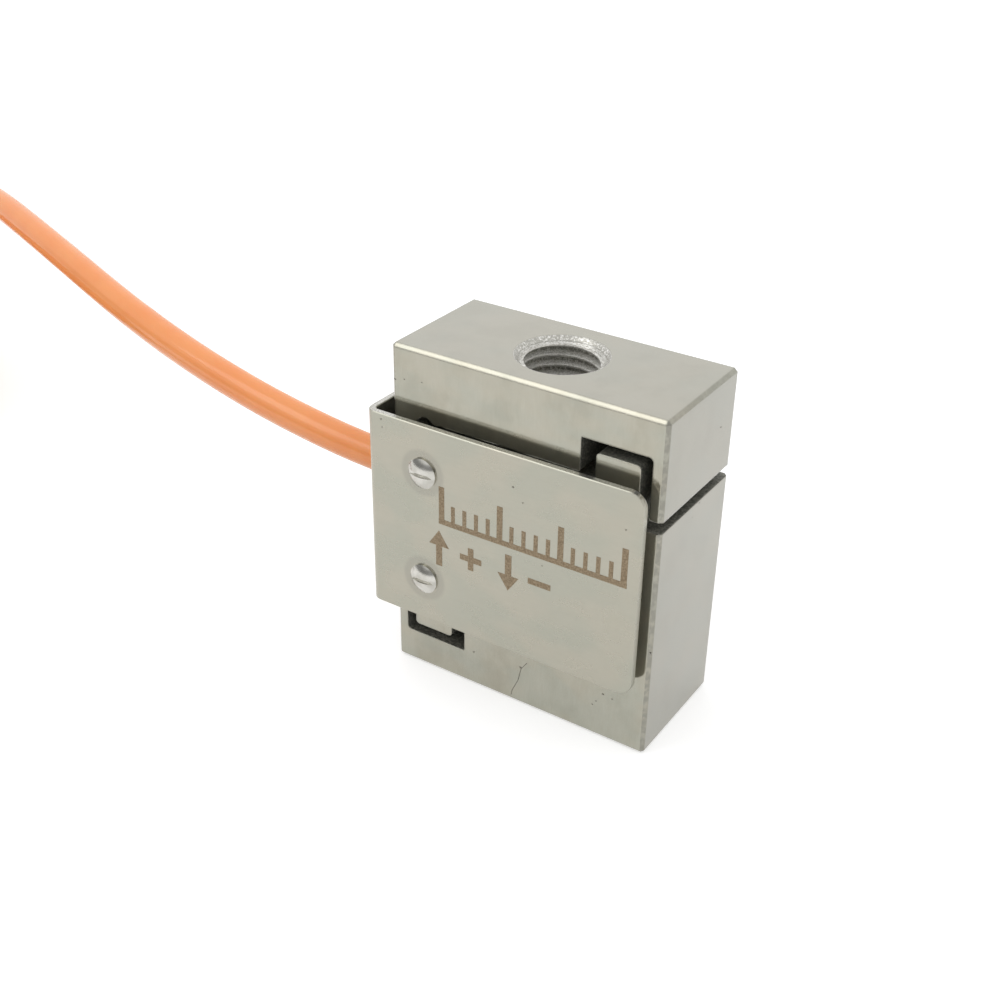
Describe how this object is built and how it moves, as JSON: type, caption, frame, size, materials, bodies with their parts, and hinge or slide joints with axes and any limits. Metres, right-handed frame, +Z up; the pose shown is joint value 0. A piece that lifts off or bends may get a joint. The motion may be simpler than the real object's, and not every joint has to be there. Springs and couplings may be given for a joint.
{
  "type": "s type load cell",
  "caption": "Miniature S-shaped load cell with a slotted steel body, tapped ends, a folded sheet cover and a thin cable.",
  "frame": {"origin": "where the load axis, the axis of both tapped holes, meets the bottom face", "axes": "+Z up the load axis from the lower to the upper thread, +X from the cable side to the open side of the cover, +Y to the back"},
  "size_m": [0.1157, 0.039, 0.0262],
  "materials": {
    "body": "satin, as wire-cut and ground",
    "cover": "fine brushed sheet",
    "screw": "turned, satin",
    "spacer": "turned",
    "gauge": "amber carrier with foil grid",
    "board": "solder-masked board",
    "resistor": "ceramic",
    "copper": "enamelled copper",
    "silicone": "translucent white silicone seals",
    "brass": "crimped",
    "grommet": "matt black",
    "jacket": "smooth orange silicone",
    "tie": "black hook-and-loop strap",
    "shrink": "heat-shrunk sleeve",
    "core_red": "insulation",
    "core_black": "insulation",
    "core_green": "insulation",
    "core_white": "insulation",
    "tinned": "tinned strands"
  },
  "bodies": {
    "root": {"spring_body": "body", "cover_sheet": "cover", "cover_screws": "screw", "cover_spacers": "spacer", "gauge_upper_left": "gauge", "gauge_upper_right": "gauge", "gauge_lower_left": "gauge", "gauge_lower_right": "gauge", "terminal_board": "board", "balance_resistor": "resistor", "span_resistor": "resistor", "inner_core_red": "core_red", "inner_core_black": "core_black", "inner_core_green": "core_green", "inner_core_white": "core_white", "gauge_wires": "copper", "gauge_fill": "silicone", "cable_ferrule": "brass", "cable_grommet": "grommet", "cable_lead": "jacket", "cable_coil": "jacket", "cable_tail": "jacket", "coil_tie": "tie", "end_sleeve": "shrink", "core_red": "core_red", "core_black": "core_black", "core_green": "core_green", "core_white": "core_white", "core_tips": "tinned", "drain_wire": "tinned"}
  },
  "joints": []
}
